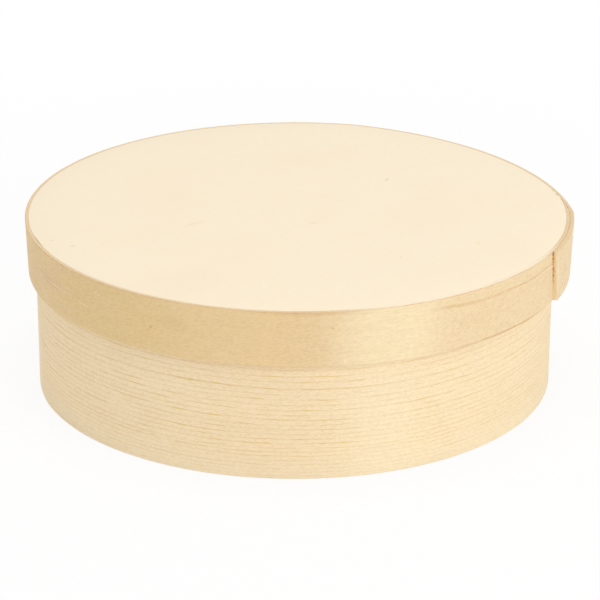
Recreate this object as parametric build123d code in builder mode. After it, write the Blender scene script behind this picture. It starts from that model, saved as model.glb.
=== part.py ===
"""A round bentwood cheese box: a deep body of spruce strip and a loose lid of poplar strip.

Each half is one long thin strip, bent round a thin board and glued to itself in a lap. The strip
starts at its outer end, runs anticlockwise over its own tail, drops with a small kink to the
round, and comes back under the lap. The wood springs a little flat just past that stiff double
stretch, so the strip's middle line is five tangent arcs: lap, kink, flat, shoulder and round. The
tail is pared down to a thin wedge that fills the room beside the kink, so the inside stays round,
and glue fills the lap. The lid's ring is a little wider at its top than at its foot, and its outer
end isn't cut quite square. The lid's board stands on the body's rim, where the loose lid sits a
little to one side, and it lifts straight off.

Sizes are in millimetres. +Z is up, and the origin is the middle of the box's underside. Seen from
the front, -Y is near and +X is to the right.
"""

import os
from dataclasses import dataclass
from math import acos, atan2, cos, degrees, radians, sin, sqrt

from build123d import *

# Body: a strip round the bottom board
body_inner_radius = 94.0
body_strip_thickness = 1.4
body_height = 61.3
bottom_board_thickness = 2.5
body_lap_length = 38.0
body_flat_depth = 0.75
body_flat_angle = 165.0

# Lid: a wider ring, loose enough to pass the lap on the body's outside
lid_strip_thickness = 1.3
lid_height = 20.4
lid_board_thickness = 2.5
lid_lap_length = 37.1
lid_end_slant = 5.0
lid_flat_depth = 2.6
lid_flat_angle = 42.2
lid_clearance = 0.7
lid_flare = 0.7
lid_shift = 1.3

# Bending: how the wood springs past a lap, the same for both strips
flat_half_angle = 36.0
shoulder_radius = 40.0
kink_radius = 6.0

# Fits, edges and glue
glue_line = 0.2
glue_relief = 0.05
board_gap = 0.15
tail_tip_thickness = 0.7
edge_ease = 0.25
board_ease = 0.2
lap_glue_margin = 0.6
lap_bead_width = 0.9
lap_bead_height = 0.7
bottom_bead_size = 2.0
lid_bead_size = 0.8

# Places that follow from the sizes
body_outer_radius = body_inner_radius + body_strip_thickness
body_lap_outer_radius = body_outer_radius + glue_line + body_strip_thickness
lid_foot_radius = body_lap_outer_radius + lid_clearance
box_height = body_height + lid_board_thickness
lid_base = box_height - lid_height


@dataclass
class Arc:
    """One arc of a strip's middle line, with its centre on the strip's own axes."""

    centre: tuple
    radius: float
    start: float
    end: float


@dataclass
class Wrap:
    """How one strip lies round its board, in plan, with its flat facing its own +X axis."""

    inner_radius: float
    thickness: float
    flat_depth: float
    lap_length: float

    @property
    def round_radius(self):
        """Middle line of the single layer."""
        return self.inner_radius + self.thickness / 2

    @property
    def lap_radius(self):
        """Middle line of the outer layer, where the strip lies on its own tail."""
        return self.round_radius + self.thickness + glue_line

    @property
    def set_back(self):
        """How far behind the axis the flat's centre lies, so that the shoulder meets both arcs."""
        reach = self.round_radius - shoulder_radius
        rise = reach * (1 - cos(radians(flat_half_angle)))
        return (2 * reach - self.flat_depth) * self.flat_depth / (2 * (rise - self.flat_depth))

    @property
    def flat_radius(self):
        """Middle line of the flattened stretch."""
        return self.round_radius - self.flat_depth + self.set_back

    @property
    def kink_centre(self):
        """Centre of the bend that touches the lap's circle and the flat's circle from inside."""
        from_axis = self.lap_radius - kink_radius
        from_flat = self.flat_radius - kink_radius
        x = (from_flat**2 - from_axis**2 - self.set_back**2) / (2 * self.set_back)
        angle = acos(x / from_axis)
        return from_axis * cos(angle), -from_axis * sin(angle)

    @property
    def kink_angle(self):
        """Where the outer layer leaves the lap's circle, in degrees."""
        x, y = self.kink_centre
        return degrees(atan2(y, x))

    @property
    def outer_end_angle(self):
        """Where the strip's visible outer end stands, in degrees."""
        return self.kink_angle - degrees(self.lap_length / self.lap_radius)

    @property
    def flat_start(self):
        """Where the flat leaves the kink, in degrees as seen from the flat's centre."""
        x, y = self.kink_centre
        return degrees(atan2(y, x + self.set_back))

    @property
    def tail_end_angle(self):
        """Where the pared tail is down to its tip's thickness, in degrees."""
        tip_radius = self.inner_radius + tail_tip_thickness
        flat_face = self.flat_radius - self.thickness / 2 - glue_line
        x = (flat_face**2 - tip_radius**2 - self.set_back**2) / (2 * self.set_back)
        return -degrees(acos(x / tip_radius))

    def beside_flat(self, angle, depth):
        """Where a ray from the axis meets the face at that depth inside the flat's middle line.

        The distance is counted from the axis, and the angle in degrees from the flat's centre.
        """
        flat_face = self.flat_radius - depth
        ahead = self.set_back * cos(radians(angle))
        beside = self.set_back * sin(radians(angle))
        distance = sqrt(flat_face**2 - beside**2) - ahead
        x, y = polar(distance, angle)
        return distance, degrees(atan2(y, x + self.set_back))

    def arcs(self):
        """The middle line from the outer end to where the tail's paring begins, anticlockwise."""
        kink_x, kink_y = self.kink_centre
        reach = self.round_radius - shoulder_radius
        half = radians(flat_half_angle)
        shoulder_x, shoulder_y = reach * cos(half), reach * sin(half)
        flat_end = degrees(atan2(shoulder_y, shoulder_x + self.set_back))
        full_turn = 360
        return [
            Arc((0, 0), self.lap_radius, self.outer_end_angle, self.kink_angle),
            Arc((kink_x, kink_y), kink_radius, self.kink_angle, self.flat_start),
            Arc((-self.set_back, 0), self.flat_radius, self.flat_start, flat_end),
            Arc((shoulder_x, shoulder_y), shoulder_radius, flat_end, flat_half_angle),
            Arc((0, 0), self.round_radius, flat_half_angle, full_turn + self.kink_angle),
        ]

    def beside_kink(self, depth, angle):
        """The face at that depth inside the kink and the flat, as far as an angle in degrees."""
        kink_sweep = self.flat_start - self.kink_angle
        flat_sweep = self.beside_flat(angle, depth)[1] - self.flat_start
        CenterArc(self.kink_centre, kink_radius - depth, self.kink_angle, kink_sweep)
        CenterArc((-self.set_back, 0), self.flat_radius - depth, self.flat_start, flat_sweep)


def polar(radius, angle):
    """A point at that radius and angle in degrees."""
    return radius * cos(radians(angle)), radius * sin(radians(angle))


def body_level(height):
    """The horizontal plane at that height, its own +X axis facing the flat of the body's strip."""
    return Plane((0, 0, height)).rotated((0, 0, body_flat_angle))


def lid_level(height):
    """The same for the lid's strip, centred where the lid sits."""
    return Plane((lid_shift, 0, height)).rotated((0, 0, lid_flat_angle))


def strip_outline(wrap, inset=0):
    """The strip seen from above: its outer face, its inner face, its square end and its pared tail.

    The inset is how far both faces are drawn in towards the middle line.
    """
    half = wrap.thickness / 2 - inset
    tail_inner = wrap.inner_radius + inset
    tail_depth = wrap.thickness / 2 + glue_line + inset
    tip = wrap.tail_end_angle
    with BuildSketch() as outline:
        with BuildLine():
            for arc in wrap.arcs():
                CenterArc(arc.centre, arc.radius + half, arc.start, arc.end - arc.start)
                CenterArc(arc.centre, arc.radius - half, arc.start, arc.end - arc.start)
            Line(
                polar(wrap.lap_radius - half, wrap.outer_end_angle),
                polar(wrap.lap_radius + half, wrap.outer_end_angle),
            )
            wrap.beside_kink(tail_depth, tip)
            Line(polar(wrap.beside_flat(tip, tail_depth)[0], tip), polar(tail_inner, tip))
            CenterArc((0, 0), tail_inner, wrap.kink_angle, tip - wrap.kink_angle)
        make_face()
    return outline.sketch


def board_outline(wrap, inset):
    """The space inside the strip's inner face, drawn in by the inset."""
    half = wrap.thickness / 2
    with BuildSketch() as outline:
        Circle(wrap.inner_radius - inset)
        with Locations((-wrap.set_back, 0)):
            Circle(wrap.flat_radius - half - inset, mode=Mode.INTERSECT)
        shoulder = outline.vertices().sort_by(Axis.Y)[-1]
        fillet(shoulder, shoulder_radius - half - inset)
    return outline.sketch


def lap_glue_outline(wrap):
    """The film between the two layers as far as the tail's tip, and the bead it squeezed out."""
    film_inner = wrap.inner_radius + wrap.thickness + glue_relief
    film_outer = film_inner + glue_line - 2 * glue_relief
    inner_depth = wrap.thickness / 2 + glue_line - glue_relief
    outer_depth = wrap.thickness / 2 + glue_relief
    tip = wrap.tail_end_angle
    start, end = wrap.outer_end_angle, wrap.kink_angle
    foot_angle = start - degrees(lap_bead_width / film_inner)
    foot = polar(film_inner, foot_angle)
    top = polar(film_inner + lap_bead_height, start)
    with BuildSketch() as outline:
        with BuildLine():
            CenterArc((0, 0), film_inner, foot_angle, end - foot_angle)
            wrap.beside_kink(inner_depth, tip)
            Line(
                polar(wrap.beside_flat(tip, inner_depth)[0], tip),
                polar(wrap.beside_flat(tip, outer_depth)[0], tip),
            )
            wrap.beside_kink(outer_depth, tip)
            CenterArc((0, 0), film_outer, start, end - start)
            Line(polar(film_outer, start), top)
            RadiusArc(foot, top, -lap_bead_width)
        make_face()
    return outline.sketch


def eased_levels(low, high, length):
    """The heights of a piece's outlines, each with how far its edge is eased there."""
    return (low, length), (low + length, 0), (high - length, 0), (high, length)


def ease(part, length):
    """Breaks the edges of the part's top and bottom faces."""
    flat_faces = part.faces().filter_by(Axis.Z)
    chamfer(flat_faces.edges(), length)


def lid_wrap_at(height):
    """The lid's wrap at that height: the ring widens and the lap lengthens towards its top."""
    rise_share = (height - lid_base) / lid_height
    inner_radius = lid_foot_radius + lid_flare * rise_share
    lap_length = lid_lap_length + lid_end_slant * rise_share
    return Wrap(inner_radius, lid_strip_thickness, lid_flat_depth, lap_length)


body_wrap = Wrap(body_inner_radius, body_strip_thickness, body_flat_depth, body_lap_length)

# Body
with BuildPart() as body_strip:
    for height, inset in eased_levels(0, body_height, edge_ease):
        with BuildSketch(body_level(height)):
            add(strip_outline(body_wrap, inset))
    loft(ruled=True)

with BuildPart() as bottom_board:
    with BuildSketch(body_level(0)):
        add(board_outline(body_wrap, board_gap))
    extrude(amount=bottom_board_thickness)
    ease(bottom_board, board_ease)

with BuildPart() as body_lap_glue:
    with BuildSketch(body_level(lap_glue_margin)):
        add(lap_glue_outline(body_wrap))
    extrude(amount=body_height - 2 * lap_glue_margin)

with BuildPart() as bottom_glue_bead:
    with BuildSketch(body_level(bottom_board_thickness)):
        add(board_outline(body_wrap, glue_relief))
        add(board_outline(body_wrap, bottom_bead_size), mode=Mode.SUBTRACT)
    extrude(amount=bottom_bead_size)
    inner_top_edges = bottom_glue_bead.faces().sort_by(Axis.Z)[-1].inner_wires()[0].edges()
    chamfer(inner_top_edges, bottom_bead_size - board_gap)

# Lid
with BuildPart() as lid_strip:
    for height, inset in eased_levels(lid_base, box_height, edge_ease):
        with BuildSketch(lid_level(height)):
            add(strip_outline(lid_wrap_at(height), inset))
    loft(ruled=True)

with BuildPart() as lid_board:
    for height, inset in eased_levels(body_height, box_height, board_ease):
        with BuildSketch(lid_level(height)):
            add(board_outline(lid_wrap_at(height), board_gap + inset))
    loft(ruled=True)

with BuildPart() as lid_lap_glue:
    for height in (lid_base + lap_glue_margin, box_height - lap_glue_margin):
        with BuildSketch(lid_level(height)):
            add(lap_glue_outline(lid_wrap_at(height)))
    loft(ruled=True)

with BuildPart() as lid_glue_bead:
    bead_foot = body_height - lid_bead_size
    for height in (bead_foot, body_height):
        with BuildSketch(lid_level(height)):
            add(board_outline(lid_wrap_at(height), glue_relief))
    loft(ruled=True)
    for height, inset in ((bead_foot, board_gap), (body_height, lid_bead_size)):
        with BuildSketch(lid_level(height)):
            add(board_outline(lid_wrap_at(height), inset))
    loft(ruled=True, mode=Mode.SUBTRACT)

pieces = {
    "body_strip": body_strip,
    "bottom_board": bottom_board,
    "body_lap_glue": body_lap_glue,
    "bottom_glue_bead": bottom_glue_bead,
    "lid_strip": lid_strip,
    "lid_board": lid_board,
    "lid_lap_glue": lid_lap_glue,
    "lid_glue_bead": lid_glue_bead,
}

os.makedirs("parts", exist_ok=True)
for name, piece in pieces.items():
    piece.part.label = name
    export_step(piece.part, f"parts/{name}.step")

for name, wrap, turn in (
    ("body", body_wrap, body_flat_angle),
    ("lid", lid_wrap_at(box_height), lid_flat_angle),
):
    print(
        f"{name}: outer end at {wrap.outer_end_angle + turn:.1f} degrees,",
        f"kink at {wrap.kink_angle + turn:.1f}, tail's tip at {wrap.tail_end_angle + turn:.1f},",
        f"flat radius {wrap.flat_radius:.1f} mm",
    )
print(f"box height {box_height:.1f} mm, lid skirt starts at {lid_base:.1f} mm")
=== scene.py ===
"""A round bentwood cheese box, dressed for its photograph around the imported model.

Each wooden piece is made here as its maker makes it. A strip starts as a flat blank with worn
edges, is bent round its board and over its own tail, and keeps a record of where each point lay on
the blank, so that growth lines and fibres follow the bend. The boards are cut to the bent strip's
inner outline, and the glue is a film with the beads that it squeezed out.

Shapes are in metres and the finishes' patterns in millimetres. +Z is up, -Y is the side that the
photograph shows, and +X is to the right.
"""

import logging
import math
from collections.abc import Callable, Iterable, Sequence
from dataclasses import dataclass
from enum import Enum
from functools import cache, cached_property, reduce

import bmesh
import bpy
from mathutils import Color, Matrix, Vector, noise


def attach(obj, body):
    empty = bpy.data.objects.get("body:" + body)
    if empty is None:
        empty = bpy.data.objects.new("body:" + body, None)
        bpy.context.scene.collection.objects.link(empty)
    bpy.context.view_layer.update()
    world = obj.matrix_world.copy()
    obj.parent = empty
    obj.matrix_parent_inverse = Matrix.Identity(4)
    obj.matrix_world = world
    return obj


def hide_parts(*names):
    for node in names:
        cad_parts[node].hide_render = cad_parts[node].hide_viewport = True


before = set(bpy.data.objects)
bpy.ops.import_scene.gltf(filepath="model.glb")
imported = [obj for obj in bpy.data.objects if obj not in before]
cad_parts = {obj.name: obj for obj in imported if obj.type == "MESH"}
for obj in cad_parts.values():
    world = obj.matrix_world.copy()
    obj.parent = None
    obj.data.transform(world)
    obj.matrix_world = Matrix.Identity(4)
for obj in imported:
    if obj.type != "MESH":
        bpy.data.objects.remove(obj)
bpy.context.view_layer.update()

LOG = logging.getLogger("cheese_box")
MM = 0.001
UP = Vector((0, 0, 1))
FULL_TURN = 2 * math.pi
LEVEL_DIGITS = 6
ROUNDING_FACES = 3
FLAT_PLACE = "flat_place"

Socket = bpy.types.NodeSocket
Colour = tuple[float, float, float]
Stretch = tuple[float, float]
Spacing = tuple[float, float, float]
Tint = Colour | Socket
Inputs = dict[str | int, object]


class Body(Enum):
    """The two bodies that the box's pieces ride on."""

    BASE = "base"
    LID = "lid"


class Slot(Enum):
    """The record's material slots."""

    SPRUCE = "spruce_strip"
    POPLAR = "poplar_strip"
    BOARD = "thin_board"
    GLUE = "dried_glue"


class Grain(Enum):
    """What a pattern is laid out on, in millimetres."""

    BLANK = "the strip's flat blank"
    OBJECT = "the object's own axes"


def paint(red: int, green: int, blue: int) -> Colour:
    """Turns a colour read off a screen into the light it stands for.

    Args:
        red: Red, from 0 to 255.
        green: Green, from 0 to 255.
        blue: Blue, from 0 to 255.

    Returns:
        The linear colour.
    """
    return tuple((Color((red, green, blue)) / 255).from_srgb_to_scene_linear())


def heading(angle: float, reach: float = 1.0) -> Vector:
    """Goes from the origin in one direction in plan.

    Args:
        angle: The direction, anticlockwise from X.
        reach: How far to go.

    Returns:
        The point, at level zero.
    """
    return Vector((reach * math.cos(angle), reach * math.sin(angle), 0))


# Bending


@dataclass(frozen=True)
class Arc:
    """One arc of a strip's middle line, on the strip's own axes."""

    centre: Vector
    radius: float
    start: float
    end: float

    @property
    def length(self) -> float:
        """Length of the middle line."""
        return self.radius * (self.end - self.start)

    def point(self, share: float, offset: float) -> Vector:
        """Finds the point at a share of the arc that is offset outside the middle line."""
        angle = self.start + share * (self.end - self.start)
        return self.centre + heading(angle, self.radius + offset)


@dataclass(frozen=True)
class Wrap:
    """How a strip lies round its board in plan: lap, kink, flat, shoulder and round."""

    inner_radius: float
    thickness: float
    flat_depth: float
    lap_length: float
    flat_half_angle: float = math.radians(36)
    shoulder_radius: float = 40 * MM
    kink_radius: float = 6 * MM
    glue_line: float = 0.2 * MM
    tail_gap: float = 0.6 * MM

    @cached_property
    def round_radius(self) -> float:
        """Middle line of the single layer."""
        return self.inner_radius + self.thickness / 2

    @cached_property
    def lap_radius(self) -> float:
        """Middle line of the outer layer of the lap."""
        return self.round_radius + self.thickness + self.glue_line

    @cached_property
    def set_back(self) -> float:
        """Works out how far the centre of the flat lies behind the axis.

        Returns:
            The distance at which the flat is as deep as it should be.
        """
        reach = self.round_radius - self.shoulder_radius
        rise = reach * (1 - math.cos(self.flat_half_angle))
        return (2 * reach - self.flat_depth) * self.flat_depth / (2 * (rise - self.flat_depth))

    @cached_property
    def flat_radius(self) -> float:
        """Middle line of the flattened stretch."""
        return self.round_radius - self.flat_depth + self.set_back

    @cached_property
    def shoulder(self) -> Vector:
        """Centre of the shoulder's arc."""
        return heading(self.flat_half_angle, self.round_radius - self.shoulder_radius)

    @cached_property
    def shoulder_start(self) -> float:
        """Angle at which the flat turns into the shoulder."""
        return math.atan2(self.shoulder.y, self.shoulder.x + self.set_back)

    @cached_property
    def arcs(self) -> tuple[Arc, ...]:
        """Joins up the middle line, anticlockwise from the strip's outer end to its tail.

        Returns:
            The arcs of the lap, the kink, the flat, the shoulder and the round.
        """
        axis = Vector((0, 0, 0))
        behind = Vector((-self.set_back, 0, 0))
        from_axis = self.lap_radius - self.kink_radius
        from_flat = self.flat_radius - self.kink_radius
        kink_x = (from_flat**2 - from_axis**2 - self.set_back**2) / (2 * self.set_back)
        turn = math.acos(kink_x / from_axis)
        kink = heading(-turn, from_axis)
        lap_start = -turn - self.lap_length / self.lap_radius
        flat_start = math.atan2(kink.y, kink.x + self.set_back)
        tail = FULL_TURN - turn - self.tail_gap / self.round_radius
        return (
            Arc(axis, self.lap_radius, lap_start, -turn),
            Arc(kink, self.kink_radius, -turn, flat_start),
            Arc(behind, self.flat_radius, flat_start, self.shoulder_start),
            Arc(self.shoulder, self.shoulder_radius, self.shoulder_start, self.flat_half_angle),
            Arc(axis, self.round_radius, self.flat_half_angle, tail),
        )

    def to_flat(self, angle: float) -> float:
        """Finds how far the inner face of the flattened stretch is from the axis.

        Args:
            angle: The direction, on the strip's own axes.

        Returns:
            The distance, as if the stretch went on all the way round.
        """
        flat = self.flat_radius - self.thickness / 2
        behind = self.set_back * math.cos(angle)
        return math.sqrt(flat**2 - (self.set_back * math.sin(angle)) ** 2) - behind

    def room(self, angle: float) -> float:
        """Finds how much room there is inside the bent strip.

        Args:
            angle: The direction, on the strip's own axes.

        Returns:
            The distance from the axis to the inner face of the single layer.
        """
        angle = math.remainder(angle, FULL_TURN)
        half = self.thickness / 2
        meeting = heading(self.shoulder_start, self.flat_radius - half)
        if math.atan2(meeting.y, meeting.x - self.set_back) < angle < self.flat_half_angle:
            along = self.shoulder.dot(heading(angle))
            beside = (self.shoulder_radius - half) ** 2 - self.shoulder.length_squared + along**2
            return along + math.sqrt(beside)
        return min(self.to_flat(angle), self.inner_radius)

    def under_lap(self, angle: float) -> float:
        """Finds the gap between the board's circle and the outer layer's inner face."""
        lap = self.lap_radius - self.thickness / 2
        return min(lap, self.to_flat(angle)) - self.glue_line / 2 - self.inner_radius


@dataclass(frozen=True)
class Ring:
    """A bent strip's ring: its section, where it stands, and how it widens towards its top."""

    foot: float
    height: float
    inner_radius: float
    thickness: float
    flat_depth: float
    lap_length: float
    turn: float
    shift: float = 0.0
    flare: float = 0.0
    end_slant: float = 0.0

    @property
    def top(self) -> float:
        """Level of the top edge."""
        return self.foot + self.height

    def wrap_at(self, level: float) -> Wrap:
        """Finds how the strip lies at one level above the floor, to the micrometre."""
        return self.kept_wrap(round(level, LEVEL_DIGITS))

    @cache
    def kept_wrap(self, level: float) -> Wrap:
        """Works out how the strip lies at one level, once for each level.

        Args:
            level: The height above the floor.

        Returns:
            The wrap at that level.
        """
        share = (level - self.foot) / self.height
        return Wrap(
            self.inner_radius + self.flare * share,
            self.thickness,
            self.flat_depth,
            self.lap_length + self.end_slant * share,
        )

    @cached_property
    def pattern(self) -> Wrap:
        """The wrap at half height, which the flat blank's lengths are measured on."""
        return self.wrap_at(self.foot + self.height / 2)

    @cached_property
    def length(self) -> float:
        """Length of the flat blank."""
        return sum(arc.length for arc in self.pattern.arcs)

    def stand(self, place: Vector, level: float) -> Vector:
        """Carries a point in plan from the strip's own axes to the box, at one level."""
        turned = Matrix.Rotation(self.turn, 3, "Z") @ place
        return Vector((turned.x + self.shift, turned.y, level))

    def bend(self, along: float, level: float, offset: float) -> Vector:
        """Bends a point of the flat blank round the ring.

        Args:
            along: Its distance from the outer end, along the middle line.
            level: The height above the floor.
            offset: How far outside the middle line it is.

        Returns:
            The point on the box.
        """
        measured, number = self.pattern.arcs, 0
        while number < len(measured) - 1 and along > measured[number].length:
            along -= measured[number].length
            number += 1
        arc = self.wrap_at(level).arcs[number]
        return self.stand(arc.point(along / measured[number].length, offset), level)

    def tail_room(self, along: float, level: float) -> float:
        """Finds how thick the skived tail may be.

        Args:
            along: The distance from the outer end.
            level: The height above the floor.

        Returns:
            The thickness that fits between the board and the outer layer.
        """
        wrap = self.wrap_at(level)
        past = (along - self.length) / self.pattern.round_radius
        return min(self.thickness, wrap.under_lap(wrap.arcs[-1].end + past))

    @cached_property
    def skive(self) -> float:
        """Measures the thin wedge that the tail is pared down to.

        Returns:
            Its length past the tail's full section.
        """
        step, thinnest = 0.25 * MM, 0.1 * MM
        reach = step
        while self.tail_room(self.length + reach, self.foot + self.height / 2) > thinnest:
            reach += step
        return reach

    def stations(self, step: float, kink_cuts: int) -> list[float]:
        """Spaces the cuts along the blank, close together where it bends sharply.

        Args:
            step: The widest spacing.
            kink_cuts: How many cuts the kink gets at least.

        Returns:
            The distances from the outer end.
        """
        places, passed = [], 0.0
        for length in [arc.length for arc in self.pattern.arcs] + [self.skive]:
            cuts = max(kink_cuts, math.ceil(length / step))
            places += [passed + length * number / cuts for number in range(1, cuts + 1)]
            passed += length
        return places[:-1]

    def facing(self, azimuth: float) -> float:
        """Finds the single layer's place on the blank that faces one way.

        Args:
            azimuth: The direction round the box, in degrees.

        Returns:
            The distance from the outer end, in millimetres.
        """
        round_arc = self.pattern.arcs[-1]
        angle = (math.radians(azimuth) - self.turn) % FULL_TURN
        return (self.length - (round_arc.end - angle) * round_arc.radius) / MM


# Shaping


def roughness(place: Sequence[float], spacing: Sequence[float], seed: float) -> float:
    """Gives a smooth random height.

    Args:
        place: Where it's read.
        spacing: How far apart its bumps are along each axis.
        seed: A number that gives another set of bumps.

    Returns:
        The height, mostly within -1 to 1.
    """
    scaled = [part / gap for part, gap in zip(place, spacing)]
    return noise.noise(Vector(scaled) + Vector((seed, seed / 2, -seed)))


def slice_across(mesh: bmesh.types.BMesh, axis: int, places: Iterable[float]) -> None:
    """Cuts the whole mesh across one axis.

    Args:
        mesh: The mesh to cut.
        axis: The number of the axis.
        places: Where each cut goes.
    """
    facing = Vector((0, 0, 0))
    facing[axis] = 1
    for place in places:
        whole = mesh.verts[:] + mesh.edges[:] + mesh.faces[:]
        bmesh.ops.bisect_plane(mesh, geom=whole, plane_co=facing * place, plane_no=facing)


def evenly(low: float, high: float, step: float) -> list[float]:
    """Spaces cuts evenly between two ends, both left out.

    Args:
        low: The first end.
        high: The other end.
        step: The widest spacing.

    Returns:
        The places of the cuts.
    """
    count = max(1, math.ceil((high - low) / step))
    return [low + (high - low) * number / count for number in range(1, count)]


def round_corners(mesh: bmesh.types.BMesh, radius: float) -> None:
    """Rounds every edge at which two faces meet squarely.

    Args:
        mesh: The mesh whose edges are rounded.
        radius: How wide the rounding is.
    """
    squarely = math.radians(60)
    sharp = [edge for edge in mesh.edges if edge.calc_face_angle(0) > squarely]
    bmesh.ops.bevel(
        mesh,
        geom=sharp,
        offset=radius,
        offset_type="OFFSET",
        segments=ROUNDING_FACES,
        profile=0.5,
        affect="EDGES",
        material=-1,
        clamp_overlap=True,
    )


def block(length: float, height: float, thickness: float) -> bmesh.types.BMesh:
    """Saws a plain block, its length on X from zero, its height on Y from zero, and centred on Z.

    Args:
        length: Size on X.
        height: Size on Y.
        thickness: Size on Z.

    Returns:
        The block's mesh.
    """
    mesh = bmesh.new()
    bmesh.ops.create_cube(mesh, size=1)
    bmesh.ops.translate(mesh, vec=(0.5, 0.5, 0), verts=mesh.verts)
    bmesh.ops.scale(mesh, vec=(length, height, thickness), verts=mesh.verts)
    return mesh


def lay_out(mesh: bmesh.types.BMesh, move: Callable[[Vector], Vector]) -> None:
    """Moves every point of a closed blank to the box, and keeps its place on the blank.

    Args:
        mesh: The blank's mesh, whose faces are turned outwards afterwards.
        move: Gives the new place of a point.
    """
    kept = mesh.verts.layers.float_vector.new(FLAT_PLACE)
    for vertex in mesh.verts:
        vertex[kept] = vertex.co / MM
        vertex.co = move(vertex.co)
    bmesh.ops.recalc_face_normals(mesh, faces=mesh.faces)
    if mesh.calc_volume(signed=True) < 0:
        bmesh.ops.reverse_faces(mesh, faces=mesh.faces)


def bring_in(mesh: bmesh.types.BMesh, name: str, finish: bpy.types.Material) -> bpy.types.Object:
    """Brings a finished mesh into the scene.

    Args:
        mesh: The finished mesh, which is used up.
        name: The new object's name.
        finish: Its material.

    Returns:
        The new object.
    """
    data = bpy.data.meshes.new(f"{name}_shape")
    mesh.to_mesh(data)
    mesh.free()
    data.materials.append(finish)
    thing = bpy.data.objects.new(name, data)
    bpy.context.scene.collection.objects.link(thing)
    return thing


def publish(
    mesh: bmesh.types.BMesh, name: str, body: Body, slot: Slot, finish: bpy.types.Material
) -> None:
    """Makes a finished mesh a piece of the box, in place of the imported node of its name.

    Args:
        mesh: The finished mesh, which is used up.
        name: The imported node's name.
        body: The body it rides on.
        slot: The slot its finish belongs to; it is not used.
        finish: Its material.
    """
    for face in mesh.faces:
        face.smooth = True
    piece = bring_in(mesh, f"{name}_dressed", finish)
    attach(piece, body.value)
    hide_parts(name)
    LOG.info("%s: %d faces on %s", piece.name, len(piece.data.polygons), body.value)


# Finishes

NOWHERE = 9999.0
MIX_COLOURS = (6, 7)
MIX_RESULT = 2
WHITE = (1.0, 1.0, 1.0, 1.0)
RESIN = paint(231, 200, 112)
# A brown used both for real bruises and marks and for painted shade along the lid's edges.
BRUISE_AND_PAINTED_SHADE = paint(206, 158, 104)
CREASE = paint(216, 168, 96)
SPECK = paint(150, 104, 52)
# A pale colour used both for pale streaks in the wood and for painted light: a paler foot and
# painted highlights.
PALE_WOOD_AND_PAINTED_LIGHT = paint(255, 240, 208)
# Lighter wood with a painted highlight, for the lid where the light peaks.
LIGHT_WOOD_AND_HIGHLIGHT = paint(255, 236, 196)
PINK_WOOD = paint(226, 192, 160)


@dataclass(frozen=True)
class Blemish:
    """A soft oval mark on a strip's blank or, on a board, in plan, turned by some degrees."""

    colour: Colour
    along: float
    level: float
    length: float
    width: float
    strength: float
    turn: float = 0.0


class Recipe:
    """A finish or a backdrop that is put together node by node."""

    def __init__(self, owner: bpy.types.Material | bpy.types.World) -> None:
        """Starts with no nodes.

        Args:
            owner: What the nodes are for.
        """
        owner.use_nodes = True
        self.tree = owner.node_tree
        self.tree.nodes.clear()

    def add(self, kind: str, inputs: Inputs, **settings: object) -> bpy.types.Node:
        """Adds a node.

        Args:
            kind: The node's type.
            inputs: A value or another node's socket for each named or numbered input.
            **settings: The node's own settings.

        Returns:
            The node.
        """
        node = self.tree.nodes.new(kind)
        for name, value in settings.items():
            setattr(node, name, value)
        for name, value in inputs.items():
            if isinstance(value, Socket):
                self.tree.links.new(value, node.inputs[name])
            else:
                node.inputs[name].default_value = value
        return node

    def where(self, grain: Grain) -> Socket:
        """Reads where a point lies.

        Args:
            grain: What the pattern is laid out on.

        Returns:
            The place, in millimetres.
        """
        if grain is Grain.BLANK:
            return self.add("ShaderNodeAttribute", {}, attribute_name=FLAT_PLACE).outputs["Vector"]
        return self.stretch(self.add("ShaderNodeTexCoord", {}).outputs["Object"], (MM, MM, MM))

    def seen_directly(self) -> Socket:
        """Tells apart what the camera sees and what lights the box.

        Returns:
            One for a ray from the camera, in gloss or through glass too, and otherwise zero.
        """
        path = self.add("ShaderNodeLightPath", {}).outputs
        rays = (path[f"Is {kind} Ray"] for kind in ("Camera", "Glossy", "Transmission"))
        return reduce(lambda seen, ray: self.sums("MAXIMUM", seen, ray), rays)

    def sums(self, operation: str, first: Socket | float, second: Socket | float = 0.0) -> Socket:
        """Works out one number from one or two."""
        node = self.add("ShaderNodeMath", {0: first, 1: second}, operation=operation)
        return node.outputs["Value"]

    def away(self, place: Socket) -> Socket:
        """Measures how far a place is from the origin."""
        node = self.add("ShaderNodeVectorMath", {0: place}, operation="LENGTH")
        return node.outputs["Value"]

    def times(self, *parts: Socket | float) -> Socket:
        """Multiplies numbers."""
        return reduce(lambda first, second: self.sums("MULTIPLY", first, second), parts)

    def plus(self, *parts: Socket | float) -> Socket:
        """Adds numbers."""
        return reduce(lambda first, second: self.sums("ADD", first, second), parts)

    def span(
        self, value: Socket, low: float, high: float, start: float = 0.0, end: float = 1.0
    ) -> Socket:
        """Turns a stretch of one number smoothly into a stretch of another.

        Args:
            value: The number.
            low: Where the stretch begins.
            high: Where it ends.
            start: The result at and before its beginning.
            end: The result at and past its end.

        Returns:
            The result.
        """
        node = self.add(
            "ShaderNodeMapRange",
            {"Value": value, "From Min": low, "From Max": high, "To Min": start, "To Max": end},
            interpolation_type="SMOOTHSTEP",
        )
        return node.outputs["Result"]

    def spread(self, cloud: Socket, start: float, end: float, cut: float = 0.2) -> Socket:
        """Spreads a cloud between two numbers, but for a share cut off at each of its ends."""
        return self.span(cloud, cut, 1 - cut, start, end)

    def stretch(self, place: Socket, size: Sequence[float], turn: float = 0.0) -> Socket:
        """Turns a place about Z and measures it in bumps instead of lengths.

        Args:
            place: The place.
            size: How large a bump is along each axis.
            turn: How far the pattern is turned, in degrees.

        Returns:
            The scaled place.
        """
        if turn:
            turned = {"Vector": place, "Rotation": (0, 0, -math.radians(turn))}
            place = self.add("ShaderNodeMapping", turned).outputs["Vector"]
        scaled = {"Vector": place, "Scale": tuple(1 / part for part in size)}
        return self.add("ShaderNodeMapping", scaled).outputs["Vector"]


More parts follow.
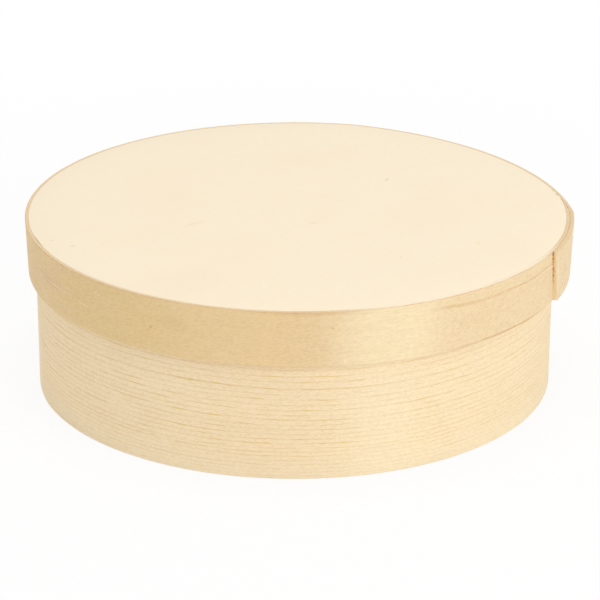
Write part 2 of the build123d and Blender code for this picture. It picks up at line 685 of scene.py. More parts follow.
class Coating(Recipe):
    """A finish whose colour is laid on coat by coat."""

    def __init__(self, name: str, grain: Grain, ground: Colour) -> None:
        """Starts a material of one colour.

        Args:
            name: The material's name.
            grain: What its patterns are laid out on.
            ground: The colour under every coat.
        """
        self.material = bpy.data.materials.new(name)
        super().__init__(self.material)
        self.place = self.where(grain)
        self.colour: Tint = ground

    @cached_property
    def axes(self) -> list[Socket]:
        """The place's three numbers: on a blank, its length, level and offset."""
        return self.add("ShaderNodeSeparateXYZ", {0: self.place}).outputs[:]

    def cloud(
        self, size: Sequence[float], detail: float, turn: float = 0.0, tangle: float = 0.0
    ) -> Socket:
        """Gives a random pattern, which is finer the smaller its bumps are.

        Args:
            size: How large a bump is along each axis.
            detail: How many finer layers it has.
            turn: How far it's turned about Z, in degrees.
            tangle: How much it's stirred.

        Returns:
            A number round one half.
        """
        inputs = {
            "Vector": self.stretch(self.place, size, turn),
            "Scale": 1.0,
            "Detail": detail,
            "Roughness": 0.55,
            "Distortion": tangle,
        }
        return self.add("ShaderNodeTexNoise", inputs).outputs[0]

    def lay(self, colour: Tint, amount: Socket | float) -> None:
        """Lays over what is there a coat of colour, of which an amount shows."""
        self.colour = self.mixed(self.colour, colour, amount)

    def mixed(self, base: Tint, colour: Tint, amount: Socket | float) -> Socket:
        """Mixes a second colour into a first.

        Args:
            base: The first colour.
            colour: The second.
            amount: The share of the second.

        Returns:
            The mixed colour.
        """
        inputs = {0: amount}
        for number, value in zip(MIX_COLOURS, (base, colour)):
            inputs[number] = value if isinstance(value, Socket) else (*value, 1.0)
        node = self.add("ShaderNodeMix", inputs, data_type="RGBA", clamp_factor=True)
        return node.outputs[MIX_RESULT]

    def blemish(self, marks: Iterable[Blemish], fibre: Socket) -> None:
        """Lays soft oval marks over the colour.

        Args:
            marks: The marks.
            fibre: The cloud of fibres that makes them ragged.
        """
        ragged = self.span(fibre, 0.3, 0.6, 0.7, 1.1)
        for mark in marks:
            ends = {0: self.place, 1: (mark.along, mark.level, 0)}
            moved = self.add("ShaderNodeVectorMath", ends, operation="SUBTRACT")
            halves = (mark.length / 2, mark.width / 2, math.inf)
            scaled = self.stretch(moved.outputs["Vector"], halves, mark.turn)
            spot = self.span(self.away(scaled), 0.2, 1.0, 1.0, 0.0)
            self.lay(mark.colour, self.times(spot, ragged, mark.strength))

    def shade(self, *amounts: Socket) -> None:
        """Makes the colour lighter or darker by the sum of some numbers.

        Args:
            *amounts: The numbers, whose sum is 1 where the colour stays as it is.
        """
        inputs = {0: self.colour, "Scale": self.plus(*amounts)}
        node = self.add("ShaderNodeVectorMath", inputs, operation="SCALE")
        self.colour = node.outputs["Vector"]

    def serve(
        self, rough: Socket, relief: Socket, depth: float, raised: float, specular: float
    ) -> bpy.types.Material:
        """Finishes the material.

        Args:
            rough: The roughness.
            relief: How high the surface is, from 0 to 1.
            depth: What a height of 1 measures, in millimetres.
            raised: How much of the relief shows.
            specular: The specular level.

        Returns:
            The material.
        """
        bump = self.add(
            "ShaderNodeBump", {"Height": relief, "Distance": depth * MM, "Strength": raised}
        )
        inputs = {
            "Base Color": self.colour,
            "Roughness": rough,
            "Normal": bump.outputs["Normal"],
            "Specular IOR Level": specular,
        }
        shader = self.add("ShaderNodeBsdfPrincipled", inputs)
        self.add("ShaderNodeOutputMaterial", {"Surface": shader.outputs[0]})
        return self.material


@dataclass(frozen=True)
class SpruceFinish:
    """Planed softwood with growth lines that fade and hold resin over set stretches; painted light
    at the foot, painted shade on one side.
    """

    early_wood: Colour = paint(252, 231, 195)
    late_wood: Colour = paint(235, 205, 147)
    yellow_wood: Colour = paint(243, 214, 158)
    first_spacing: float = 1.35
    spacing_growth: float = 0.024
    line_starts: Stretch = (0.64, 0.86)
    line_ends: Stretch = (0.88, 1.0)
    line_strength: Stretch = (0.92, 0.74)
    resin_strength: float = 0.7
    # Painted light: the levels over which the foot is painted paler, in place of light bounced up
    # from the table.
    painted_light_foot: Stretch = (2.0, 11.0)
    fading: Stretch = (0.0, 1.0)
    resinous: Stretch = (0.0, 1.0)
    # Painted shade: past this stretch, on the side that the side lamp lights, the colour is
    # painted slightly darker.
    painted_shade_stretch: Stretch = (0.0, 1.0)
    blur: float = 30.0
    marks: tuple[Blemish, ...] = ()

    def rings(self, coating: Coating) -> Socket:
        """Counts the growth rings from the strip's foot upwards.

        Args:
            coating: The finish in the making.

        Returns:
            The number of rings below the place.
        """
        sway = coating.spread(coating.cloud((110, 40, 3), detail=1), -0.7, 0.7)
        shiver = coating.spread(coating.cloud((9, 2.4, 2), detail=3), -0.16, 0.16)
        uneven = coating.spread(coating.cloud((900, 4.2, 900), detail=1), -0.2, 0.2)
        level = coating.plus(coating.axes[1], sway, shiver)
        grown = coating.plus(coating.times(level, self.spacing_growth / self.first_spacing), 1.0)
        count = coating.sums("LOGARITHM", coating.sums("MAXIMUM", grown, 0.1), math.e)
        return coating.plus(coating.sums("DIVIDE", count, self.spacing_growth), uneven)

    def lines(self, coating: Coating) -> Socket:
        """Draws the dark late wood at the top of each ring, stronger in some rings than in others.

        Args:
            coating: The finish in the making.

        Returns:
            How dark the late wood is, from 0 to about 1.
        """
        count = self.rings(coating)
        share = coating.sums("FRACT", count)
        number = {"W": coating.sums("FLOOR", count)}
        ring = coating.add("ShaderNodeTexWhiteNoise", number, noise_dimensions="1D")
        broken = coating.cloud((13, 1.0, 9), detail=4)
        return coating.times(
            coating.span(share, *self.line_starts),
            coating.span(share, *self.line_ends, 1.0, 0.0),
            coating.span(ring.outputs["Value"], 0.0, 1.0, 0.6, 1.0),
            coating.span(broken, 0.36, 0.62, 0.3, 1.25),
        )

    def dashes(self, coating: Coating, line: Socket, clouds: Socket) -> Socket:
        """Picks the short stretches of the growth lines that are full of resin.

        Args:
            coating: The finish in the making.
            line: How dark the late wood is.
            clouds: The pattern that frays the ends of the resinous part.

        Returns:
            How much resin shows.
        """
        start, end = self.resinous
        middle = coating.plus(coating.axes[0], coating.spread(clouds, -12, 12))
        return coating.times(
            line,
            coating.span(coating.cloud((5, 0.7, 3), detail=1), 0.53, 0.63),
            coating.span(middle, start, start + self.blur, 0.3, 1.0),
            coating.span(middle, end - self.blur, end, 1.0, 0.5),
            self.resin_strength,
        )

    def make(self) -> bpy.types.Material:
        """Makes the finish.

        Returns:
            The material.
        """
        coating = Coating("planed_spruce", Grain.BLANK, self.early_wood)
        along, level, _ = coating.axes
        line = self.lines(coating)
        fibre = coating.cloud((9, 0.22, 1), detail=3)
        grain = coating.cloud((1.3, 0.42, 1), detail=2)
        clouds = coating.cloud((70, 15, 5), detail=2)

        strength = coating.span(along, *self.fading, *self.line_strength)
        coating.lay(self.late_wood, coating.times(line, strength))
        coating.lay(RESIN, self.dashes(coating, line, clouds))
        coating.lay(self.yellow_wood, coating.span(grain, 0.42, 0.72, 0.0, 0.5))
        # Painted light: the foot is painted paler, in place of light bounced up from the table.
        coating.lay(PALE_WOOD_AND_PAINTED_LIGHT, coating.span(level, *self.painted_light_foot, 0.38, 0.0))
        coating.blemish(self.marks, fibre)
        coating.shade(
            coating.spread(clouds, 0.985, 1.015, 0.25), coating.spread(grain, 0.03, -0.03, 0.25)
        )
        # Painted shade: slightly darker past a set stretch, on the side that the side lamp lights.
        coating.shade(coating.span(along, *self.painted_shade_stretch, 1.0, 0.984))
        return coating.serve(
            rough=coating.spread(fibre, 0.6, 0.74),
            relief=coating.plus(coating.times(line, 0.6), fibre),
            depth=0.04,
            raised=0.6,
            specular=0.25,
        )


@dataclass(frozen=True)
class PoplarFinish:
    """Peeled veneer with a faint cloudy figure, deeper in colour at first, as wood tone and
    painted shade, and then pale.
    """

    pale: Colour = paint(240, 215, 174)
    # Wood tone and painted shade: a deeper, more saturated colour for the left of the band, which
    # is turned from the side lamp.
    deep_shaded: Colour = paint(237, 207, 157)
    yellow_wood: Colour = paint(228, 197, 138)
    pale_edge: Colour = paint(251, 236, 210)
    # Painted shade: the top edge's colour where it is made to look as shaded as the band below.
    shaded_edge: Colour = paint(231, 204, 163)
    end_grain: Colour = paint(243, 218, 178)
    height: float = 20.0
    half_thickness: float = 0.6
    pale_to: float = 60.0
    shade_paling: Stretch = (0.0, 1.0)
    # Painted shade: where the darkened outer corner grows stronger.
    shaded_corner_from: float = 1.0
    # Stretches where the top edge carries painted shade.
    shaded_edge_parts: tuple[Stretch, ...] = ()
    blur: float = 12.0
    edge_depth: Stretch = (0.04, 0.16)
    corner_depth: Stretch = (0.25, 0.55)
    corner_width: Stretch = (0.12, 0.3)
    crease_to: float = 68.0
    crease_length: float = 68.0
    crease_level: float = 0.0
    crease_rise: float = 1.4
    crease_wander: float = 0.5
    light_below: float = 0.8
    marks: tuple[Blemish, ...] = ()

    def crease(self, coating: Coating) -> None:
        """Draws the crease that runs from the seam beside the top edge.

        Args:
            coating: The finish in the making.
        """
        along, level, _ = coating.axes
        past = coating.sums("SUBTRACT", along, self.crease_to - self.crease_length)
        share = coating.sums("DIVIDE", past, self.crease_length)
        sway = coating.cloud((22, 400, 400), detail=3)
        wander = coating.spread(sway, -self.crease_wander, self.crease_wander)
        rise = coating.span(share, 0.0, 0.45, self.crease_rise, 0.0)
        middle = coating.plus(wander, rise, self.crease_level)
        above = coating.sums("SUBTRACT", level, middle)
        off_dark = coating.sums("ABSOLUTE", above)
        off_light = coating.sums("ABSOLUTE", coating.plus(above, self.light_below))
        sharp = coating.times(
            coating.span(off_dark, 0.05, 0.34, 0.66, 0.0),
            coating.span(share, 0.2, 0.65),
            coating.span(coating.cloud((4, 0.8, 9), detail=3), 0.3, 0.6, 0.5, 1.1),
        )
        soft = coating.times(
            coating.span(off_dark, 0.1, 1.0, 1.0, 0.0),
            coating.span(share, 0.15, 0.75, 0.36, 0.12),
            coating.span(share, 0.0, 0.2),
        )
        light = coating.times(
            coating.span(off_light, 0.1, 0.4, 0.35, 0.0), coating.span(share, 0.6, 1.0)
        )
        coating.lay(CREASE, coating.sums("MAXIMUM", sharp, soft))
        coating.lay(PALE_WOOD_AND_PAINTED_LIGHT, light)

    def top_edge(self, coating: Coating) -> None:
        """Colours the sawn top edge pale, or tan with painted shade where it copies the band's
        shaded colour, and paints shade at its outer corner.

        Args:
            coating: The finish in the making.
        """
        along, level, offset = coating.axes
        below = coating.sums("SUBTRACT", self.height, level)
        inside = coating.sums("SUBTRACT", self.half_thickness, offset)
        blur = self.blur
        tan: Socket | float = 0.0
        # Painted shade: over these stretches the top edge takes the band's shaded colour.
        for start, stop in self.shaded_edge_parts:
            after = coating.span(along, start - blur, start + blur)
            before = coating.span(along, stop - blur, stop + blur, 1.0, 0.0)
            tan = coating.sums("MAXIMUM", coating.times(after, before), tan)
        edge = coating.mixed(self.pale_edge, self.shaded_edge, tan)
        coating.lay(edge, coating.span(below, *self.edge_depth, 1.0, 0.0))

        # Painted shade: the outer corner of the top edge is darkened, where shade falls under the
        # arris, more strongly past a set point.
        start = self.shaded_corner_from
        corner = coating.times(
            coating.span(inside, *self.corner_width, 1.0, 0.0),
            coating.span(below, *self.corner_depth, 1.0, 0.0),
            coating.spread(coating.cloud((7, 3, 3), detail=2), 0.15, 0.36, 0.3),
            coating.span(along, start, start + 2 * blur, 1.0, 1.35),
        )
        coating.lay(BRUISE_AND_PAINTED_SHADE, corner)

    def outer_end(self, coating: Coating) -> None:
        """Colours the sawn outer end, which glue has soaked into here and there.

        Args:
            coating: The finish in the making.
        """
        along, level, offset = coating.axes
        at_end = coating.span(along, 0.05, 0.2, 1.0, 0.0)
        soaked = coating.plus(
            coating.cloud((1.2, 1.3, 0.5), detail=3),
            coating.span(level, self.height * 0.35, self.height * 0.6, -0.14, 0.02),
            coating.span(offset, -self.half_thickness, self.half_thickness, 0.1, -0.12),
        )
        coating.lay(self.end_grain, at_end)
        coating.lay(CREASE, coating.times(at_end, coating.span(soaked, 0.54, 0.66, 0.0, 0.75)))

    def make(self) -> bpy.types.Material:
        """Makes the finish.

        Returns:
            The material.
        """
        coating = Coating("peeled_poplar", Grain.BLANK, self.pale)
        along = coating.axes[0]
        figure = coating.cloud((20, 8, 5), detail=3, tangle=0.4)
        fleck = coating.cloud((1.4, 0.5, 1.5), detail=2, turn=9)
        fibre = coating.cloud((12, 0.3, 1), detail=2)

        # Painted shade as well as wood tone: the colour is deeper over the band's left, turned
        # from the side lamp, and pales towards the lit right.
        depth = coating.times(
            coating.span(along, *self.shade_paling, 1.0, 0.0),
            coating.span(along, self.pale_to, 2 * self.pale_to),
        )
        coating.lay(self.deep_shaded, coating.plus(depth, coating.spread(figure, -0.2, 0.2, 0.25)))
        coating.lay(self.yellow_wood, coating.span(fleck, 0.4, 0.72, 0.0, 0.42))
        coating.blemish(self.marks, fibre)
        self.crease(coating)
        self.top_edge(coating)
        self.outer_end(coating)
        coating.shade(
            coating.spread(fleck, 1.03, 0.97, 0.25), coating.spread(fibre, -0.014, 0.014, 0.25)
        )
        return coating.serve(
            rough=coating.spread(fleck, 0.5, 0.66),
            relief=coating.plus(fibre, fleck),
            depth=0.035,
            raised=0.6,
            specular=0.3,
        )


@dataclass(frozen=True)
class BoardFinish:
    """Very pale smooth board, with the faintest streaks and a few specks."""

    pale: Colour = paint(251, 236, 209)
    warm: Colour = paint(246, 227, 195)
    turn: float = 50.0
    marks: tuple[Blemish, ...] = ()

    def make(self) -> bpy.types.Material:
        """Makes the finish.

        Returns:
            The material.
        """
        coating = Coating("smooth_board", Grain.OBJECT, self.pale)
        clouds = coating.cloud((55, 38, 20), detail=3, turn=self.turn)
        streaks = coating.cloud((34, 1.3, 4), detail=3, turn=self.turn)
        fibre = coating.cloud((4, 0.3, 0.6), detail=2, turn=self.turn)

        coating.lay(self.warm, coating.span(clouds, 0.42, 0.75, 0.0, 0.2))
        coating.blemish(self.marks, fibre)
        coating.shade(
            coating.spread(streaks, 0.997, 1.003, 0.3), coating.spread(fibre, -0.009, 0.009, 0.3)
        )
        return coating.serve(
            rough=coating.spread(fibre, 0.58, 0.7),
            relief=coating.plus(streaks, fibre),
            depth=0.02,
            raised=0.5,
            specular=0.25,
        )


@dataclass(frozen=True)
class GlueFinish:
    """Dried wood glue: brown where it's thick, amber where it's thin, and paler as a mere film."""

    amber: Colour = paint(230, 186, 118)
    brown: Colour = paint(150, 104, 44)
    film: Colour = paint(240, 212, 168)
    film_below: float = -NOWHERE
    film_from: float = NOWHERE

    def make(self) -> bpy.types.Material:
        """Makes the finish.

        Returns:
            The material.
        """
        coating = Coating("amber_glue", Grain.BLANK, self.brown)
        along, level, _ = coating.axes
        lumps = coating.cloud((1.5, 0.9, 0.9), detail=2, tangle=0.5)
        grit = coating.cloud((0.35, 0.4, 0.35), detail=2)

        uneven = coating.plus(level, coating.spread(lumps, -1.5, 1.5, 0.3))
        low = coating.span(uneven, self.film_below, self.film_below + 3, 1.0, 0.0)
        inside = coating.span(along, self.film_from, self.film_from + 1, 0.0, 0.75)
        coating.lay(self.amber, coating.span(lumps, 0.45, 0.55))
        coating.lay(self.film, coating.sums("MAXIMUM", low, inside))
        coating.shade(coating.spread(grit, 0.85, 1.15))
        return coating.serve(
            rough=coating.spread(lumps, 0.3, 0.5),
            relief=grit,
            depth=0.08,
            raised=0.5,
            specular=0.4,
        )


# Pieces


@dataclass
class BentStrip:
    """A strip of wood that goes round the box once and laps over its own tail."""

    ring: Ring
    seed: float
    edge_radius: float = 0.2 * MM
    edge_wear: float = 0.12 * MM
    hollow_depth: float = 0.06 * MM
    chip_spacing: Spacing = (6 * MM, 30 * MM, 2 * MM)
    dip_spacing: Spacing = (45 * MM, 90 * MM, 9 * MM)
    hollow_spacing: Spacing = (28 * MM, 16 * MM, 40 * MM)
    level_step: float = 2.5 * MM
    along_step: float = 2.2 * MM
    kink_cuts: int = 8

    def worn(self, point: Vector) -> Vector:
        """Wears the long edges of the blank and lets its faces sink a little here and there.

        Args:
            point: A point of the flat blank.

        Returns:
            Where it lies after wear.
        """
        along, level, offset = point
        middle = self.ring.height / 2
        from_middle = (level - middle) / middle
        chips = abs(roughness(point, self.chip_spacing, self.seed))
        dips = abs(roughness(point, self.dip_spacing, self.seed + 7))
        hollows = roughness(point, self.hollow_spacing, self.seed + 3)
        level -= self.edge_wear * (0.4 * chips + 0.6 * dips) * from_middle**9
        offset -= self.hollow_depth * (0.6 - 0.4 * hollows)
        return Vector((along, level, offset))

    def bent(self, point: Vector) -> Vector:
        """Wears a point, thins it if it's on the skived tail, and bends it round the ring.

        Args:
            point: A point of the flat blank.

        Returns:
            The point on the box.
        """
        ring = self.ring
        along, level, offset = self.worn(point)
        level += ring.foot
        if along > ring.length:
            from_board = offset + ring.thickness / 2
            thinned = max(0.0, ring.tail_room(along, level)) / ring.thickness
            offset = from_board * thinned - ring.thickness / 2
        return ring.bend(along, level, offset)

    def build(self) -> bmesh.types.BMesh:
        """Shapes the strip.

        Returns:
            The bent strip's mesh.
        """
        ring = self.ring
        mesh = block(ring.length + ring.skive, ring.height, ring.thickness)
        slice_across(mesh, 0, ring.stations(self.along_step, self.kink_cuts))
        margin = 3 * self.edge_radius
        inner = evenly(margin, ring.height - margin, self.level_step)
        slice_across(mesh, 1, [margin, *inner, ring.height - margin])
        round_corners(mesh, self.edge_radius)
        lay_out(mesh, self.bent)
        return mesh


@dataclass(frozen=True)
class Nick:
    """A place where a board's edge is chipped, its direction in degrees."""

    azimuth: float
    length: float
    depth: float


@dataclass
class FittedBoard:
    """A thin board cut to the room inside a bent strip."""

    ring: Ring
    foot: float
    seed: float
    thickness: float
    nicks: tuple[Nick, ...] = ()
    gap: float = 0.03 * MM
    edge_radius: float = 0.1 * MM
    waviness: float = 0.05 * MM
    wave_spacing: Spacing = (5 * MM, 5 * MM, 90 * MM)
    steps_round: int = 720
    rings_inside: int = 10

    def chipped(self, angle: float) -> float:
        """Finds how much of the edge is missing.

        Args:
            angle: The direction, on the strip's own axes.

        Returns:
            How far the edge lies behind its outline.
        """
        missing = 0.0
        for nick in self.nicks:
            away = angle + self.ring.turn - math.radians(nick.azimuth)
            arc = abs(math.remainder(away, FULL_TURN)) * self.ring.inner_radius
            missing = max(missing, nick.depth * (1 - (arc / (nick.length / 2)) ** 4))
        return missing

    def fitted(self, point: Vector) -> Vector:
        """Draws a point of the round board in to the strip's outline.

        Args:
            point: A point of the round board.

        Returns:
            The point on the box.
        """
        level = self.foot + point.z
        angle = math.atan2(point.y, point.x)
        waves = roughness(point, self.wave_spacing, self.seed)
        cut = self.gap + self.waviness * max(0.0, waves) + self.chipped(angle)
        room = self.ring.wrap_at(level).room(angle) - cut
        return self.ring.stand(point.xy.to_3d() * (room / self.ring.inner_radius), level)

    def build(self) -> bmesh.types.BMesh:
        """Shapes the board.

        Returns:
            The board's mesh.
        """
        mesh = bmesh.new()
        bmesh.ops.create_circle(
            mesh,
            cap_ends=True,
            cap_tris=True,
            radius=self.ring.inner_radius,
            segments=self.steps_round,
        )
        spokes = [edge for edge in mesh.edges if not edge.is_boundary]
        bmesh.ops.subdivide_edges(mesh, edges=spokes, cuts=self.rings_inside)
        raised = bmesh.ops.extrude_face_region(mesh, geom=mesh.faces[:])["geom"]
        upper = [part for part in raised if isinstance(part, bmesh.types.BMVert)]
        bmesh.ops.translate(mesh, vec=UP * self.thickness, verts=upper)
        bmesh.ops.recalc_face_normals(mesh, faces=mesh.faces)
        round_corners(mesh, self.edge_radius)
        lay_out(mesh, self.fitted)
        return mesh


@dataclass
class LapGlue:
    """The glue in a lap: its film, and the bead that it squeezed out beside the strip's end."""

    ring: Ring
    seed: float
    margin: float = 0.08 * MM
    film: float = 0.24 * MM
    film_step: float = 1.5 * MM
    past_kink: float = 4 * MM
    bead_width: float = 0.5 * MM
    bead_height: float = 0.4 * MM
    bead_steps: tuple[float, float] = (0.2 * MM, 0.3 * MM)
    lump_spacing: Spacing = (9 * MM, 1.1 * MM, 9 * MM)
    gap_spacing: Spacing = (9 * MM, 4 * MM, 9 * MM)
    tuck: float = 0.12 * MM
    heap: float = 1.35
    least: float = 0.45

    @property
    def height(self) -> float:
        """Height of the film and the bead."""
        return self.ring.height - 2 * self.margin

    def film_mesh(self) -> bmesh.types.BMesh:
        """Shapes the film between the two layers.

        Returns:
            The film's mesh.
        """
        ring = self.ring
        length = ring.pattern.lap_length + self.past_kink
        mesh = block(length, self.height, self.film)
        slice_across(mesh, 0, evenly(0, length, self.film_step))
        under = -(ring.thickness + ring.pattern.glue_line) / 2
        lay_out(
            mesh,
            lambda point: ring.bend(point.x, ring.foot + self.margin + point.y, under + point.z),
        )
        return mesh

    def beaded(self, point: Vector) -> Vector:
        """Heaps up a point of the bead in the corner beside the strip's end.

        Args:
            point: A point of the plain bead, its width on X.

        Returns:
            The point on the box.
        """
        ring = self.ring
        out = point.x / self.bead_width
        lumps = 0.7 + 0.9 * roughness(point, self.lump_spacing, self.seed)
        gaps = 0.7 + 1.2 * roughness(point, self.gap_spacing, self.seed + 5)
        full = max(self.least, lumps * min(1.0, max(0.3, gaps)))
        rise = (point.z / self.bead_height + 0.5) * (1 - 0.85 * out**1.5)
        foot = -ring.thickness / 2 - ring.pattern.glue_line
        offset = foot + rise * self.bead_height * full * self.heap
        return ring.bend(self.tuck - point.x * full, ring.foot + self.margin + point.y, offset)

    def bead_mesh(self) -> bmesh.types.BMesh:
        """Shapes the lumpy bead that stands in the corner beside the strip's end.

        Returns:
            The bead's mesh.
        """
        mesh = block(self.bead_width, self.height, self.bead_height)
        across, upward = self.bead_steps
        slice_across(mesh, 1, evenly(0, self.height, upward))
        slice_across(mesh, 0, evenly(0, self.bead_width, across))
        slice_across(mesh, 2, [0.0])
        lay_out(mesh, self.beaded)
        return mesh

    def build(self) -> bmesh.types.BMesh:
        """Shapes the film and the bead as one piece.

        Returns:
            The glue's mesh.
        """
        whole = bmesh.new()
        for part in (self.film_mesh(), self.bead_mesh()):
            held = bpy.data.meshes.new("glue_part")
            part.to_mesh(held)
            part.free()
            whole.from_mesh(held)
            bpy.data.meshes.remove(held)
        return whole


@dataclass
class GlueFillet:
    """An uneven fillet of glue along the corner between a board and its strip.

    It rises from the corner's level, or hangs from it where its rise is negative. Its waves and
    ripples are spaced by shares of the ring's radius.
    """

    ring: Ring
    corner: float
    width: float
    rise: float
    seed: float
    least: float = 0.45
    gap: float = 0.04 * MM
    wave_spacing: Spacing = (0.05, 0.05, 1.0)
    ripple_spacing: Spacing = (0.012, 0.012, 1.0)
    sides: int = 12
    steps_round: int = 420

    def filled(self, point: Vector) -> Vector:
        """Presses a point of the plain round bead into the corner.

        Args:
            point: A point of the bead.

        Returns:
            The point on the box.
        """
        reach = point.xy.length
        inward = 0.5 - (reach - self.ring.inner_radius) / self.width
        upward = 0.5 + point.z / abs(self.rise)
        ahead = point.xy.to_3d() / reach
        waves = 0.5 + roughness(ahead, self.wave_spacing, self.seed)
        ripples = roughness(ahead, self.ripple_spacing, self.seed + 4)
        full = min(1.0, max(self.least, 0.75 * waves + self.least + 0.2 * ripples))
        inward *= full
        level = self.corner + self.rise * upward * full * (1 - 0.45 * inward)
        room = self.ring.wrap_at(level).room(math.atan2(point.y, point.x)) - self.gap
        return self.ring.stand(ahead * (room - inward * self.width), level)

    def build(self) -> bmesh.types.BMesh:
        """Shapes the fillet.

        Returns:
            The fillet's mesh.
        """
        mesh = bmesh.new()
        bmesh.ops.create_circle(mesh, cap_ends=False, segments=self.sides, radius=1)
        bmesh.ops.rotate(mesh, matrix=Matrix.Rotation(math.pi / 2, 3, "X"), verts=mesh.verts)
        bmesh.ops.scale(mesh, vec=(self.width / 2, 1, abs(self.rise) / 2), verts=mesh.verts)
        bmesh.ops.translate(mesh, vec=(self.ring.inner_radius, 0, 0), verts=mesh.verts)
        bmesh.ops.spin(
            mesh,
            geom=mesh.verts[:] + mesh.edges[:],
            cent=(0, 0, 0),
            axis=UP,
            dvec=(0, 0, 0),
            angle=FULL_TURN,
            steps=self.steps_round,
            use_merge=True,
        )
        lay_out(mesh, self.filled)
        return mesh


# The box


@dataclass
class BoxBody:
    """The deep half of the box: a spruce strip round a bottom board."""

    ring: Ring = Ring(
        foot=0.0,
        height=61.3 * MM,
        inner_radius=94 * MM,
        thickness=1.4 * MM,
        flat_depth=0.75 * MM,
        lap_length=38 * MM,
        turn=math.radians(165),
    )
    board_thickness: float = 2.5 * MM
    fillet_size: float = 2.0 * MM
    seed: float = 11.3

    def spruce(self) -> bpy.types.Material:
        """Makes the strip's finish, with the marks that the front of the box shows, a painted
        highlight and painted shade among them.

        Returns:
            The strip's material.
        """
        facing = self.ring.facing
        return SpruceFinish(
            fading=(facing(240), facing(262)),
            resinous=(facing(215), facing(325)),
            # Painted shade past this stretch, on the side that the side lamp lights.
            painted_shade_stretch=(facing(288), facing(312)),
            marks=(
                Blemish(BRUISE_AND_PAINTED_SHADE, facing(266), 22, 92, 110, 0.08),
                Blemish(PALE_WOOD_AND_PAINTED_LIGHT, facing(188), 16, 34, 70, 0.5),
                # Painted highlight: a pale patch where the light peaks on the body.
                Blemish(PALE_WOOD_AND_PAINTED_LIGHT, facing(288), 20, 40, 60, 0.25),
                Blemish(RESIN, facing(214), 21.0, 48, 0.7, 0.45),
                Blemish(RESIN, facing(231), 10.2, 7, 0.7, 0.5),
                Blemish(RESIN, facing(239.5), 10.8, 5, 0.6, 0.6),
                Blemish(RESIN, facing(198), 22.5, 6, 5, 0.2),
            ),
        ).make()

    def build(self, glue: bpy.types.Material) -> None:
        """Builds and dresses every piece.

        Args:
            glue: The glue's finish.
        """
        corner, size = self.board_thickness, self.fillet_size
        strip = BentStrip(self.ring, self.seed)
        bottom = FittedBoard(self.ring, 0.0, self.seed + 1, self.board_thickness)
        lap = LapGlue(self.ring, self.seed + 2)
        fillet = GlueFillet(self.ring, corner, size, size, self.seed + 3)
        publish(strip.build(), "body_strip", Body.BASE, Slot.SPRUCE, self.spruce())
        publish(bottom.build(), "bottom_board", Body.BASE, Slot.BOARD, BoardFinish().make())
        publish(lap.build(), "body_lap_glue", Body.BASE, Slot.GLUE, glue)
        publish(fillet.build(), "bottom_glue_bead", Body.BASE, Slot.GLUE, glue)


